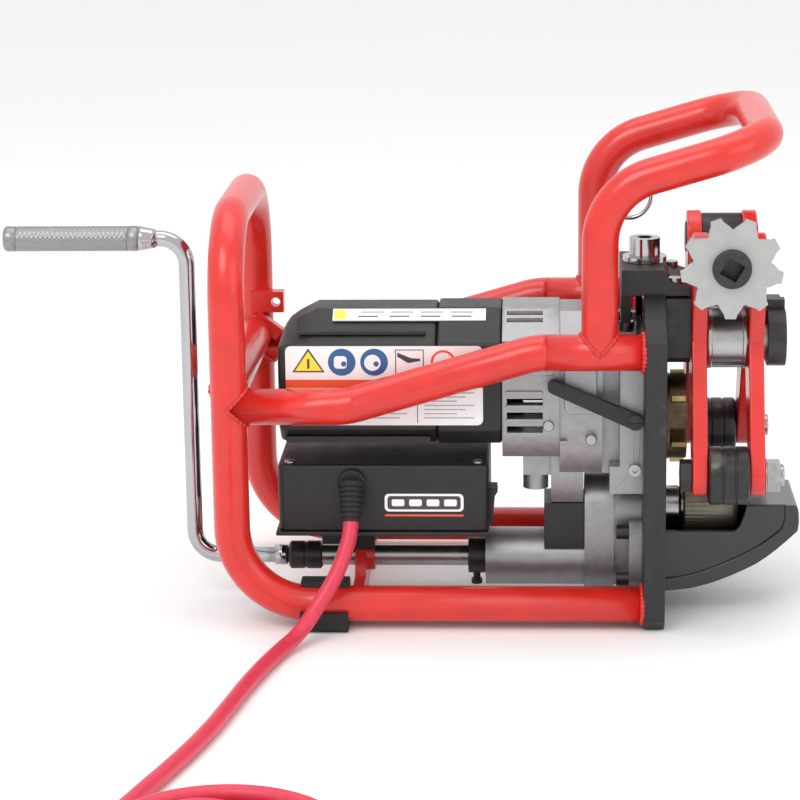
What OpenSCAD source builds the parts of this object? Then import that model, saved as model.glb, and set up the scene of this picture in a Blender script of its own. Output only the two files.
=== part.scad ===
// Portable pipe bevelling machine: a motor turns a milling head through a slot in a thick front plate, a
// hand crank turns a drive roller under it, and two arms with guide rollers clamp the pipe's wall between.
// +X points to the pipe, +Z up. The origin is the middle of the front plate's bottom edge.

/* [Frame] */
// Outside diameter of the frame tube
tube_d = 25.4; // [24:0.2:26]
// Wall of the frame tube
tube_wall = 2; // [1.5:0.1:3]
// Distance from the machine's middle to the axis of each side rail
rail_y = 100; // [98:1:102]
// Height of the axis of the bottom rails
rail_z = 17; // [16.6:0.2:18]
// X of the rear hoop
hoop_x = -297; // [-305:1:-295]
// Height of the axis of the hoop's top tube
hoop_top_z = 288; // [275:1:300]
// Centre-line radius of the frame's bends
frame_bend_r = 56; // [45:1:60]
// Height that the upper rails climb from the hoop to the front plate
rail_rise = 38.5; // [31.5:3.5:45.5]
// Height of the upper rails at the front plate
rail_high_z = 199; // [196:1:200]
// X of the carry handle's legs
handle_x = -38.7; // [-42:0.1:-36]
// Height of the corner where the handle's legs turn forward
handle_corner_z = 311.8; // [308:0.2:316]
// Length of the handle's sloping side, corner to corner
handle_slope_l = 118.5; // [112.5:0.5:122.5]

/* [Front plate] */
// Thickness of the front plate
plate_t = 15; // [14:0.5:15]
// Height of the front plate
plate_h = 233; // [232:0.5:234]
// Width of the slot that the slide moves in
slot_w = 50; // [48:1:52]

/* [Drive line] */
// Y of the plane that holds the crank, the cutter and the drive roller
line_y = -35; // [-36:0.5:-34]
// Height of the crank and feed shaft axis
feed_z = 33; // [32:0.5:34]
// Height of the cutter spindle axis
cutter_z = 138; // [137:0.5:139]
// Diameter of the drive roller
drive_d = 38; // [36:0.5:39]
// Distance from the feed shaft axis to the end of the crank's grip
crank_r = 235; // [225:1:238]
// Diameter of the feed shaft
feed_d = 15; // [14:0.5:15]
// Travel of the depth slide
depth_travel = 8; // [4:0.5:8]

/* [Clamp] */
// Diameter of each guide roller
guide_d = 40.8; // [38:0.2:42]
// Diameter of the star wheel over its points
star_d = 70; // [66:1:74]
// Number of points of the star wheel
star_points = 9; // [7:1:11]
// Side of the square drive hole
square_drive = 12.7; // [12.7:0.1:13]

/* [Motor] */
// Height of the armature's axis above the cutter spindle
gear_centres = 32; // [32:1:32]
// Half of the motor housing's width
motor_half_w = 48; // [46:0.5:48]

/* [Control box] */
// Length of the control box
box_l = 150; // [140:1:152]
// Depth of the control box
box_d = 90; // [80:1:95]
// Height of the control box
box_h = 52; // [48:1:52]

/* [Power cord] */
// Diameter of the power cord
cord_d = 11; // [10:0.5:12]

/* [Hidden] */
$fn = 64;
tiny = 0.01;
slack = 0.05; // radial room of a running fit
gap = 0.3; // room between faces that pass each other

tube_r = tube_d / 2;
bore_r = tube_r - tube_wall;
cope_r = tube_r + 0.1; // a coped end stops just short of the tube it is welded to
plate_back = -plate_t / 2;
plate_front = plate_t / 2;

// Feed gears: two equal gears, one on the feed shaft and one above it on the drive spindle
feed_module = 2;
feed_teeth = 19;
drive_z = feed_z + feed_teeth * feed_module;
gear_x = [-40, -28];

// Cutter gears: an external pair
cutter_module = 1.6;
motor_pinion_teeth = 8;
spindle_teeth = 2 * gear_centres / cutter_module - motor_pinion_teeth;
motor_z = cutter_z + gear_centres;
tooth_add = 0.7;
tooth_ded = 1.1;
tooth_share = 0.19;
flank = 20;

// Crank
crank_rod_r = 5.75;
crank_arm_x = -332;
crank_end_x = -460;
grip_r = 9.1;
grip_front_x = -365.6;
grip_back_x = -462.3;
coupling_x = [-263, -238.4];

// Motor unit stations along X
motor_back_x = -264;
motor_step_x = -152;
motor_end_x = -106.5;
vent_end_x = -66;
neck_x = -36;
flange_x = -24;
flange_half_w = 40;
head_x = [8, 24];
head_r = 33;
screw_x = -6;
bracket_z = 233;

// Clamp, seen along X: pivots, trunnions and rollers of the two arms
arm_mid_y = line_y;
pivot_y = 25;
pivot_z = 201;
pivot_r = 9;
trunnion_y = 45;
trunnion_z = 260;
guide_y = 71;
guide_z = 113;
arm_x = [[25.5, 36], [65, 75.5]];
arm_mid_x = (arm_x[0][1] + arm_x[1][0]) / 2;
trunnion_r = 17;
clamp_r = 8;
star_t = 4.5;
star_y = -112;

// Control box
box_x = [-116 - box_l, -116];
box_y = -80;
box_z = 61;

// Power cord: points along its axis from the gland to the coil, then the coil and the tail
gland_x = -213;
cord_r = cord_d / 2;
cord_points = [
    [-213, -97, 76], [-214, -103, 66], [-218, -112, 54], [-223, -120, 43], [-229, -126, 33],
    [-236, -132, 23], [-243, -140, 14], [-250, -151, 8], [-256, -164, 6], [-262, -185, 5.6],
    [-268, -210, 5.6], [-274, -240, 5.6], [-280, -275, 5.6], [-287, -315, 5.6], [-296, -355, 5.6],
    [-307, -395, 5.6], [-318, -432, 5.6], [-327, -465, 5.6], [-332, -495, 5.6], [-333, -520, 5.6]
];
coil_centre = [-259.5, -520];
coil_r = 73.5;
coil_section = [[-5.5, 0], [5.5, 0], [5.5, 11], [0, 20.6], [-16.5, 20.6], [-27.5, 11], [-27.5, 0]];
tail_points = [[-259.5, -593.5, 5.6], [-239, -593.5, 5.6], [-219, -593.5, 5.6], [-199, -593.5, 5.6]];

function unit(v) = v / norm(v);
function turn(p, i) = acos(unit(p[i] - p[i - 1]) * unit(p[i + 1] - p[i]));
function set_back(p, i, r) = i == 0 || i == len(p) - 1 ? 0 : r[i] * tan(turn(p, i) / 2);
function across(p, side) = [p.x, side * p.y, p.z];

// Straight round bar from a to b
module rod(a, b, r) {
    d = b - a;
    translate(a) rotate([0, acos(d.z / norm(d)), atan2(d.y, d.x)]) cylinder(h = norm(d), r = r);
}

// Round bend at corner b of the path a, b, c
module elbow(a, b, c, bend_r, r) {
    u = unit(b - a);
    w = unit(c - b);
    angle = acos(u * w);
    n = unit(cross(u, w));
    m = cross(n, u);
    o = b - u * bend_r * tan(angle / 2) + m * bend_r;
    multmatrix([[-m.x, u.x, n.x, o.x], [-m.y, u.y, n.y, o.y], [-m.z, u.z, n.z, o.z], [0, 0, 0, 1]])
        rotate_extrude(angle = angle) translate([bend_r, 0]) circle(r = r);
}

// Round bar along the corners p, with bend radii r at the corners
module bent_rod(p, bend, r) {
    for (i = [0 : len(p) - 2]) {
        u = unit(p[i + 1] - p[i]);
        rod(p[i] + u * set_back(p, i, bend), p[i + 1] - u * set_back(p, i + 1, bend), r);
    }
    for (i = [1 : len(p) - 2]) elbow(p[i - 1], p[i], p[i + 1], bend[i], r);
}

// The same path with its two ends made longer
function longer(p, extra) = [for (i = [0 : len(p) - 1])
    i == 0 ? p[0] + unit(p[0] - p[1]) * extra
    : i == len(p) - 1 ? p[i] + unit(p[i] - p[i - 1]) * extra
    : p[i]];

module bent_tube(p, bend) {
    difference() {
        bent_rod(p, bend, tube_r);
        bent_rod(longer(p, 1), bend, bore_r);
    }
}

module block(x, y, z) translate([x[0], y[0], z[0]]) cube([x[1] - x[0], y[1] - y[0], z[1] - z[0]]);
module bar_x(x, y, z, r) translate([x[0], y, z]) rotate([0, 90, 0]) cylinder(h = x[1] - x[0], r = r);
module bar_y(x, y, z, r) translate([x, y[0], z]) rotate([-90, 0, 0]) cylinder(h = y[1] - y[0], r = r);
module bar_z(x, y, z, r) translate([x, y, z[0]]) cylinder(h = z[1] - z[0], r = r);
module cone_x(x, y, z, r) translate([x[0], y, z])
    rotate([0, 90, 0]) cylinder(h = x[1] - x[0], r1 = r[0], r2 = r[1]);
module hex_x(x, y, z, r) translate([x[0], y, z]) rotate([0, 90, 0]) cylinder(h = x[1] - x[0], r = r, $fn = 6);

// A flat outline drawn in Y and Z, made thick along X; and one drawn in X and Z, made thick along Y
module slab_x(x) translate([x[0], 0, 0]) rotate([90, 0, 90]) linear_extrude(x[1] - x[0]) children();
module slab_y(y) translate([0, y[1], 0]) rotate([90, 0, 0]) linear_extrude(y[1] - y[0]) children();

// Two discs and the straight sides that touch both
module link(a, ra, b, rb) {
    d = b - a;
    base = atan2(d.y, d.x);
    open = acos((ra - rb) / norm(d));
    translate(a) circle(r = ra);
    translate(b) circle(r = rb);
    polygon([
        for (s = [1, -1]) a + ra * [cos(base + s * open), sin(base + s * open)],
        for (s = [-1, 1]) b + rb * [cos(base + s * open), sin(base + s * open)]
    ]);
}

// Rectangle with cut corners, centred
module cut_corner(w, h, c) polygon([
    [-w / 2 + c, -h / 2], [w / 2 - c, -h / 2], [w / 2, -h / 2 + c], [w / 2, h / 2 - c],
    [w / 2 - c, h / 2], [-w / 2 + c, h / 2], [-w / 2, h / 2 - c], [-w / 2, -h / 2 + c]
]);

module tooth(root, tip, pitch_r, mod) {
    half = PI * mod * tooth_share;
    rise = tan(flank);
    root_half = half + abs(pitch_r - root) * rise;
    tip_half = half - abs(tip - pitch_r) * rise;
    polygon([[root, -root_half], [tip, -tip_half], [tip, tip_half], [root, root_half]]);
}

module outer_gear(teeth, mod) {
    pitch_r = teeth * mod / 2;
    root = pitch_r - tooth_ded * mod;
    circle(r = root + 0.1);
    for (i = [0 : teeth - 1])
        rotate(i * 360 / teeth) tooth(root - 0.1, pitch_r + tooth_add * mod, pitch_r, mod);
}

// ---- Frame ----

slope = [0.96, 0.28]; // the rails' climb and the handle's sides, as a unit vector in X and Z
frame_path = [
    [plate_back, -rail_y, rail_z], [hoop_x, -rail_y, rail_z], [hoop_x, -rail_y, hoop_top_z],
    [hoop_x, rail_y, hoop_top_z], [hoop_x, rail_y, rail_z], [plate_back, rail_y, rail_z]
];
frame_bends = [0, frame_bend_r, frame_bend_r, frame_bend_r, frame_bend_r, 0];
rail_low_z = rail_high_z - rail_rise;
rail_top_x = -83;
rail_path = [
    [hoop_x, rail_y, rail_low_z], [rail_top_x - rail_rise * slope.x / slope.y, rail_y, rail_low_z],
    [rail_top_x, rail_y, rail_high_z], [plate_back, rail_y, rail_high_z]
];
rail_bends = [0, 56, 56, 0];
grip_bar_x = handle_x + handle_slope_l * slope.x;
grip_bar_z = handle_corner_z + handle_slope_l * slope.y;
handle_path = [
    [handle_x, -rail_y, rail_high_z], [handle_x, -rail_y, handle_corner_z],
    [grip_bar_x, -rail_y, grip_bar_z], [grip_bar_x, rail_y, grip_bar_z],
    [handle_x, rail_y, handle_corner_z], [handle_x, rail_y, rail_high_z]
];
handle_bends = [0, 48, 42, 42, 48, 0];

module main_frame() color("red") bent_tube(frame_path, frame_bends);

module upper_rail(side) color("red") difference() {
    bent_rod([for (p = rail_path) across(p, side)], rail_bends, tube_r);
    bent_rod(longer([for (p = rail_path) across(p, side)], 1), rail_bends, bore_r);
    bar_z(hoop_x, side * rail_y, [rail_low_z - 30, rail_low_z + 30], cope_r);
}
module rail_near() upper_rail(-1);
module rail_far() upper_rail(1);

// Points along the path p, with each corner rounded in the given number of steps
function corner_points(p, i, r, steps) = let (
    u = unit(p[i] - p[i - 1]), w = unit(p[i + 1] - p[i]), angle = turn(p, i), m = unit(w - u * (u * w)),
    centre = p[i] - u * r * tan(angle / 2) + m * r
) [for (k = [0 : steps]) centre + r * (u * sin(angle * k / steps) - m * cos(angle * k / steps))];
function rounded_path(p, bend, steps) = concat(
    [p[0]], [for (i = [1 : len(p) - 2], q = corner_points(p, i, bend[i], steps)) q], [p[len(p) - 1]]);

// One tube wall with flat ends; its legs run into the upper rails, where they are welded
handle_sides = 20;
function at(i, k) = i * handle_sides + k % handle_sides;
module carry_handle() color("red") {
    p = rounded_path(handle_path, handle_bends, 7);
    rings = len(p);
    half = rings * handle_sides;
    polyhedron(
        points = concat(tube_rings(p, tube_r, handle_sides, [1, 1, -1]),
                        tube_rings(p, bore_r, handle_sides, [1, 1, -1])),
        faces = concat(
            [for (i = [0 : rings - 2], k = [0 : handle_sides - 1])
                [at(i, k), at(i, k + 1), at(i + 1, k + 1), at(i + 1, k)]],
            [for (i = [0 : rings - 2], k = [0 : handle_sides - 1])
                [half + at(i, k), half + at(i + 1, k), half + at(i + 1, k + 1), half + at(i, k + 1)]],
            [for (k = [0 : handle_sides - 1])
                [at(0, k), half + at(0, k), half + at(0, k + 1), at(0, k + 1)]],
            [for (k = [0 : handle_sides - 1])
                [at(rings - 1, k), at(rings - 1, k + 1), half + at(rings - 1, k + 1), half + at(rings - 1, k)]]
        )
    );
}

// A steel ring welded to the far leg of the handle
module hang_ring() color("silver") difference() {
    translate([-13, rail_y, 274]) rotate([90, 0, 0]) rotate_extrude() translate([16.4, 0]) circle(r = 1.7);
    bar_z(handle_x, rail_y, [250, 300], tube_r);
}

// Rubber feet: each wraps the bottom rail and is open on the outside
module foot_clips() color([0.15, 0.15, 0.16]) for (side = [-1, 1]) difference() {
    block([-249, -215], [side * rail_y - 16.5, side * rail_y + 16.5], [0, 33.4]);
    bar_x([-250, -214], side * rail_y, rail_z, tube_r);
    block([-250, -214], side > 0 ? [rail_y, rail_y + 17] : [-rail_y - 17, -rail_y], [20, 30.6]);
}

// Cross bar between the bottom rails, with a lug round the feed shaft
module shaft_support() color("red") difference() {
    union() {
        slab_x([-214, -206]) {
            translate([-rail_y, rail_z - 9]) square([2 * rail_y, 14]);
            link([line_y, feed_z], 12, [line_y, rail_z + 2], 20);
        }
        bar_x([-214, -200], line_y, feed_z, 11);
    }
    bar_x([-220, -195], line_y, feed_z, feed_d / 2 + slack);
    for (side = [-1, 1]) bar_x([-220, -195], side * rail_y, rail_z, tube_r);
}

// Cross tube between the legs of the hoop, with a hook plate and a small lug on the far leg
brace_z = 172;
module hoop_brace() color("red") difference() {
    union() {
        bar_y(hoop_x, [-rail_y, rail_y], brace_z, tube_r);
        block([hoop_x - 3, -275], [86, 97], [188, 204]);
        slab_y([78, 87]) polygon([[hoop_x, 180], [-281, 168], [-275, 176], [hoop_x + 3, 190]]);
    }
    bar_y(hoop_x, [-rail_y, rail_y], brace_z, bore_r);
    for (side = [-1, 1]) bar_z(hoop_x, side * rail_y, [150, 220], cope_r);
    bar_y(-281, [80, 100], 196, 3.5);
}

// ---- Front plate and slide ----

plate_half_w = rail_y + 13;
module plate_outline() difference() {
    polygon([
        [-plate_half_w + 8, 0], [plate_half_w - 8, 0], [plate_half_w, 8], [plate_half_w, 208],
        [plate_half_w - 38, plate_h], [-plate_half_w + 38, plate_h], [-plate_half_w, 208],
        [-plate_half_w, 8]
    ]);
    translate([line_y - slot_w / 2, 98]) square([slot_w, plate_h]);
    translate([line_y, drive_z]) circle(r = 15);
    for (p = case_bolts) translate(p) circle(r = 3);
}
case_bolts = [[line_y - 31, 60], [line_y - 31, 25], [line_y + 31, 60], [line_y + 31, 25]];

module front_plate() color([0.18, 0.18, 0.19]) slab_x([plate_back, plate_front]) plate_outline();

// Gibs: they guide the slide's flange on both sides and catch behind it at the bottom
gib_y = [flange_half_w + gap, flange_half_w + 8.3];
module gib(side) {
    y = side > 0 ? [line_y + gib_y[0], line_y + gib_y[1]] : [line_y - gib_y[1], line_y - gib_y[0]];
    lip = side > 0 ? [y[0] - 7, y[1]] : [y[0], y[1] + 7];
    difference() {
        union() {
            block([flange_x, plate_back], y, [93, 205]);
            block([flange_x - 7, flange_x - gap], lip, [93, 113]);
        }
        if (side < 0) bar_y(-13.4, [y[0] - 1, y[1] + 1], 146.8, 4 + slack);
        bar_y(-13.4, [y[0] - 1, y[1] + 1], 111, 2.5);
    }
    block([flange_x - gap - tiny, flange_x + tiny], side > 0 ? [y[0], y[1]] : y, [93, 113]);
}
module slide_gibs() color([0.68, 0.68, 0.7]) {
    gib(-1);
    gib(1);
}

// Cap screws in the gibs' sides and in the bracket
module slide_screws() color("silver") {
    for (side = [-1, 1]) {
        outer = line_y + side * gib_y[1];
        head = side > 0 ? [outer, outer + 4] : [outer - 4, outer];
        shank = side > 0 ? [outer - 7, outer] : [outer, outer + 7];
        difference() {
            union() {
                bar_y(-13.4, head, 111, 4.3);
                bar_y(-13.4, shank, 111, 2.5);
            }
            translate([-13.4, side > 0 ? outer + 2 : outer - 5, 111]) rotate([-90, 0, 0])
                cylinder(h = 3, r = 2, $fn = 6);
        }
    }
    bar_z(-19, line_y - 17, [204, 211], 5);
    bar_z(-19, line_y + 17, [204, 211], 5);
    for (side = [-1, 1]) {
        bar_z(14, line_y + side * 30, [239, 245], 5);
    }
}

// Bracket over the slot, which holds the depth screw
module top_bracket() color([0.16, 0.16, 0.17]) difference() {
    union() {
        slab_y([line_y - 36, line_y + 36])
            polygon([[-23, bracket_z], [plate_front + 17, bracket_z], [plate_front + 17, 239],
                     [plate_front + 4, 243], [plate_front - 1, 251], [-23, 251]]);
        block([-23, -16], [line_y - 25, line_y + 25], [211, bracket_z + tiny]);
    }
    bar_z(screw_x, line_y, [200, 260], 6 + slack);
    for (side = [-1, 1]) bar_z(14, line_y + side * 30, [239, 260], 6);
}

// Depth screw: socket head, flange washer and a collar below the bracket
module depth_screw() color("silver") difference() {
    union() {
        bar_z(screw_x, line_y, [168, 255], 6);
        bar_z(screw_x, line_y, [251 + gap, 255], 15.5);
        bar_z(screw_x, line_y, [255, 268], 10.9);
        bar_z(screw_x, line_y, [226, bracket_z - gap], 9);
    }
    translate([screw_x, line_y, 259]) cylinder(h = 10, r = 5.8, $fn = 6);
}

// ---- Feed ----

case_low_r = 20.8;
case_high_r = 24;
module feed_case() color([0.62, 0.62, 0.63]) difference() {
    union() {
        bar_x([-119.3, plate_back], line_y, feed_z, case_low_r);
        slab_x([-48, -27]) link([line_y, feed_z], case_high_r, [line_y, drive_z], case_high_r);
        slab_x([-27, -16.5]) link([line_y, feed_z], case_low_r, [line_y, drive_z], case_high_r - 1.5);
        slab_x([-16.5, plate_back]) difference() {
            union() {
                translate([line_y, 42.5]) cut_corner(76, 50, 8);
                translate([line_y, drive_z]) circle(r = case_high_r - 1.5);
            }
            for (p = case_bolts) translate(p) circle(r = 3);
        }
    }
    bar_x([-120, gear_x[0] - 1], line_y, feed_z, feed_d / 2 + 3);
    for (z = [feed_z, drive_z]) bar_x([gear_x[0] - 2, gear_x[1] + 0.6], line_y, z, 21.4);
    bar_x([gear_x[0], plate_back + 1], line_y, drive_z, 15);
}

module feed_case_bolts() color([0.15, 0.15, 0.16]) for (p = case_bolts) {
    bar_x([-16.5, 6], p[0], p[1], 3);
    difference() {
        bar_x([-25.5, -16.5], p[0], p[1], 5.2);
        hex_x([-26, -21.5], p[0], p[1], 2.9);
    }
}

// Bushes of the feed shaft and of the drive spindle
module feed_bushes() color([0.7, 0.55, 0.3]) {
    difference() {
        union() {
            bar_x([-119, -99], line_y, feed_z, feed_d / 2 + 3);
            bar_x([-60, gear_x[0] - 2], line_y, feed_z, feed_d / 2 + 3);
        }
        bar_x([-125, -30], line_y, feed_z, feed_d / 2 + slack);
    }
    difference() {
        bar_x([plate_back, plate_front], line_y, drive_z, 15);
        bar_x([plate_back - 1, plate_front + 1], line_y, drive_z, 10 + slack);
    }
}

// Block that stops the motor unit at its lowest place
module depth_stop() color([0.12, 0.12, 0.13]) difference() {
    block([-77, -48], [line_y - 20, line_y + 20], [44, 78]);
    bar_x([-78, -40], line_y, feed_z, case_low_r);
}

module feed_shaft() color([0.5, 0.5, 0.52]) {
    bar_x([-250, gear_x[0]], line_y, feed_z, feed_d / 2);
    slab_x(gear_x) translate([line_y, feed_z]) rotate(90) outer_gear(feed_teeth, feed_module);
}

module drive_spindle() color([0.6, 0.6, 0.62]) {
    slab_x(gear_x) translate([line_y, drive_z]) rotate(180 / feed_teeth - 90)
        outer_gear(feed_teeth, feed_module);
    bar_x([gear_x[1] - 1, 61], line_y, drive_z, 10);
}

// Drive roller with flats of knurling as shallow grooves round it
module drive_roller() color([0.45, 0.44, 0.38]) difference() {
    union() {
        bar_x([23, 57.5], line_y, drive_z, drive_d / 2);
        cone_x([57.5, 61.5], line_y, drive_z, [drive_d / 2, drive_d / 2 - 4]);
    }
    bar_x([22, 63], line_y, drive_z, 10);
}

module coupling() color([0.3, 0.3, 0.31]) difference() {
    union() {
        cone_x([coupling_x[0], coupling_x[0] + 2], line_y, feed_z, [8.4, 10.2]);
        bar_x([coupling_x[0] + 2, coupling_x[1] - 2], line_y, feed_z, 10.2);
        cone_x([coupling_x[1] - 2, coupling_x[1]], line_y, feed_z, [10.2, 8.4]);
    }
    bar_x([coupling_x[0] - 1, -250], line_y, feed_z, crank_rod_r);
    bar_x([-250, coupling_x[1] + 1], line_y, feed_z, feed_d / 2);
}

module crank_arm() color("silver") {
    bent_rod([
        [crank_end_x, line_y, feed_z + crank_r], [crank_arm_x, line_y, feed_z + crank_r],
        [crank_arm_x, line_y, feed_z], [-250, line_y, feed_z]
    ], [0, 19, 19, 0], crank_rod_r);
    cone_x([grip_front_x + gap, grip_front_x + 12], line_y, feed_z + crank_r, [grip_r, 6.6]);
    bar_x([-273, -264], line_y, feed_z, 7.4);
}

module crank_grip() color([0.8, 0.8, 0.8]) difference() {
    bar_x([grip_back_x, grip_front_x], line_y, feed_z + crank_r, grip_r);
    bar_x([crank_end_x - 0.4, grip_front_x + 1], line_y, feed_z + crank_r, crank_rod_r + slack);
}

// Collar on the feed shaft, with a thumb screw below
module shaft_collar() color([0.13, 0.13, 0.14]) difference() {
    union() {
        bar_x([-132, -119.8], line_y, feed_z, 12.8);
        bar_z(-126, line_y, [feed_z - 18, feed_z - 9], 2.6);
        bar_z(-126, line_y, [feed_z - 21, feed_z - 17.5], 4);
    }
    bar_x([-134, -118], line_y, feed_z, feed_d / 2);
}

// ---- Front guard ----

guard_y = [line_y - 35, line_y + 35];
guard_wall = 4;
guard_tip_x = 103;
guard_top_z = 81;
pocket_z = 61.6;

// Underside of the guard in X and Z; rise moves it up and in by the wall
function guard_under(rise) = [
    [plate_front, 17 + rise], [27, 19 + rise], [42, 23 + rise], [57, 29 + rise],
    [74 - rise / 2, 37.5 + rise], [88 - rise / 2, 48 + rise], [guard_tip_x - rise, 62]
];
module front_guard() color([0.2, 0.2, 0.2]) difference() {
    slab_y(guard_y) polygon(concat(guard_under(0), [
        [guard_tip_x, guard_top_z - 1.5], [guard_tip_x - 1.5, guard_top_z], [66, guard_top_z],
        [64.5, guard_top_z - 8], [62, pocket_z + 4], [58, pocket_z], [plate_front, pocket_z]
    ]));
    slab_y([guard_y[0] + guard_wall, guard_y[1] - guard_wall]) polygon(concat(guard_under(guard_wall), [
        [guard_tip_x - guard_wall, guard_top_z - guard_wall], [68, guard_top_z - guard_wall],
        [68, guard_top_z + 1], [plate_front + guard_wall, guard_top_z + 1]
    ]));
    bar_x([plate_front - 1, plate_front + 10], line_y, drive_z, 16);
}

// ---- Clamp ----

module pivot_block() color([0.16, 0.16, 0.17]) difference() {
    slab_x([plate_front, 25]) translate([arm_mid_y, 208.5]) cut_corner(84, 45, 4);
    for (side = [-1, 1]) bar_x([12, 30], arm_mid_y + side * pivot_y, pivot_z, pivot_r);
}

module pivot_pins() color("silver") for (side = [-1, 1])
    bar_x([12, 90], arm_mid_y + side * pivot_y, pivot_z, pivot_r);

module pivot_tie() color([0.3, 0.3, 0.31]) difference() {
    slab_x([79, 91.5]) {
        link([arm_mid_y - pivot_y, pivot_z], 20, [arm_mid_y + pivot_y, pivot_z], 20);
        translate([arm_mid_y - pivot_y + 4, pivot_z + 15]) square([10, 11]);
    }
    for (side = [-1, 1]) bar_x([78, 90], arm_mid_y + side * pivot_y, pivot_z, pivot_r);
}

// Points of an arm in Y and Z; side is -1 on the near arm
function pivot_at(side) = [arm_mid_y + side * pivot_y, pivot_z];
function trunnion_at(side) = [arm_mid_y + side * trunnion_y, trunnion_z];
function guide_at(side) = [arm_mid_y + side * guide_y, guide_z];

module arm(side) color("red") difference() {
    union() {
        for (x = arm_x) slab_x(x) {
            link(pivot_at(side), 20, trunnion_at(side), 19);
            link(pivot_at(side), 20, guide_at(side), 14);
        }
        bar_x([arm_x[0][1] - tiny, arm_x[1][0] + tiny], pivot_at(side)[0], pivot_z, 22);
    }
    bar_x([20, 90], pivot_at(side)[0], pivot_z, pivot_r + slack);
    bar_x([20, 90], trunnion_at(side)[0], trunnion_z, 8 + slack);
    bar_x([20, 90], guide_at(side)[0], guide_z, 8);
}
module near_arm() arm(-1);
module far_arm() arm(1);

module roller_bolt(side) color([0.2, 0.2, 0.2]) {
    y = guide_at(side)[0];
    bar_x([25, 88], y, guide_z, 8);
    hex_x([17, 25.5], y, guide_z, 12);
    hex_x([arm_x[1][1], 86], y, guide_z, 12);
}
module near_roller_bolt() roller_bolt(-1);
module far_roller_bolt() roller_bolt(1);

module guide_roller(side) color([0.35, 0.35, 0.36]) difference() {
    bar_x([arm_x[0][1] + gap, arm_x[1][0] - gap], guide_at(side)[0], guide_z, guide_d / 2);
    bar_x([30, 70], guide_at(side)[0], guide_z, 8 + slack);
}
module near_roller() guide_roller(-1);
module far_roller() guide_roller(1);

module trunnion(side) color([0.3, 0.3, 0.31]) difference() {
    union() {
        bar_x([arm_x[0][1] + gap, arm_x[1][0] - gap], trunnion_at(side)[0], trunnion_z, trunnion_r);
        bar_x([arm_x[0][0], arm_x[1][1]], trunnion_at(side)[0], trunnion_z, 8);
    }
    bar_y(arm_mid_x, [trunnion_at(side)[0] - 20, trunnion_at(side)[0] + 20], trunnion_z,
          side < 0 ? clamp_r + slack : clamp_r + gap);
}
module near_trunnion() trunnion(-1);
module far_trunnion() trunnion(1);

hub_y = [star_y - 5, trunnion_at(-1)[0] - trunnion_r - gap];
module clamp_screw() color([0.35, 0.35, 0.36]) difference() {
    union() {
        bar_y(arm_mid_x, [hub_y[0], hub_y[1]], trunnion_z, 13);
        bar_y(arm_mid_x, [hub_y[1] - 1, 38], trunnion_z, clamp_r);
        bar_y(arm_mid_x, [trunnion_at(-1)[0] + trunnion_r + gap, trunnion_at(-1)[0] + trunnion_r + 5],
              trunnion_z, 11);
    }
    translate([arm_mid_x, hub_y[0] + 5, trunnion_z]) rotate([0, 30, 0])
        cube([square_drive, 12, square_drive], center = true);
}

module star_wheel() color([0.82, 0.83, 0.82]) difference() {
    slab_y([star_y, star_y + star_t]) translate([arm_mid_x, trunnion_z]) difference() {
        union() {
            circle(r = star_d / 2 - 8);
            for (i = [0 : star_points - 1]) rotate(-91 + i * 360 / star_points)
                polygon([[20, -9.5], [star_d / 2 - 8, -8], [star_d / 2 - 3, -4.6], [star_d / 2, -3.8],
                         [star_d / 2, 3.8], [star_d / 2 - 3, 4.6], [star_d / 2 - 8, 8], [20, 9.5]]);
        }
        circle(r = 13);
    }
}

// ---- Motor unit ----

// Octagon of the motor, in Y and Z about the motor's axis; out makes it larger all round
module motor_outline(out) polygon([
    [line_y - 17 - out, 221 + out], [line_y + 17 + out, 221 + out],
    [line_y + motor_half_w + out, 201 + out / 2], [line_y + motor_half_w + out, 139],
    [line_y + 34 + out, 126 - out], [line_y - 34 - out, 126 - out],
    [line_y - motor_half_w - out, 139], [line_y - motor_half_w - out, 201 + out / 2]
]);
function back_cap(out) = [
    [motor_back_x + 26 - out, 222], [motor_back_x + 14 - out, 215], [motor_back_x + 5 - out, 209],
    [motor_back_x - out, 202], [motor_back_x - out, 125], [-100, 125], [-100, 222]
];

module motor_housing() color([0.2, 0.2, 0.21]) difference() {
    intersection() {
        slab_x([motor_back_x, motor_step_x]) motor_outline(-0.8);
        slab_y([-100, 30]) polygon(back_cap(0));
    }
    bar_x([motor_back_x + 5, motor_step_x + 1], line_y, motor_z, 38.5);
}

module motor_front() color([0.17, 0.17, 0.18]) difference() {
    slab_x([motor_step_x, motor_end_x]) motor_outline(0);
    bar_x([motor_step_x - 1, motor_end_x + 1], line_y, motor_z, 38.5);
}

module vent_housing() color([0.66, 0.66, 0.67]) difference() {
    slab_x([motor_end_x, vent_end_x]) polygon([
        [line_y - 18, 221], [line_y + 18, 221], [line_y + 46, 203], [line_y + 46, 134],
        [line_y + 32, 116], [line_y - 32, 116], [line_y - 46, 134], [line_y - 46, 203]
    ]);
    bar_x([motor_end_x - 1, vent_end_x - 4], line_y, motor_z, 41);
    bar_x([vent_end_x - 5, vent_end_x + 1], line_y, motor_z, 9 + 4);
    for (z = [137, 147, 157]) block([-103, -78], [line_y - 60, line_y - 20], [z, z + 4.5]);
    for (z = [137, 147, 157]) block([-103, -78], [line_y + 20, line_y + 60], [z, z + 4.5]);
    for (y = [-30, -24, 20, 26]) block([-103, -78], [line_y + y, line_y + y + 3.5], [190, 230]);
}

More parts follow.
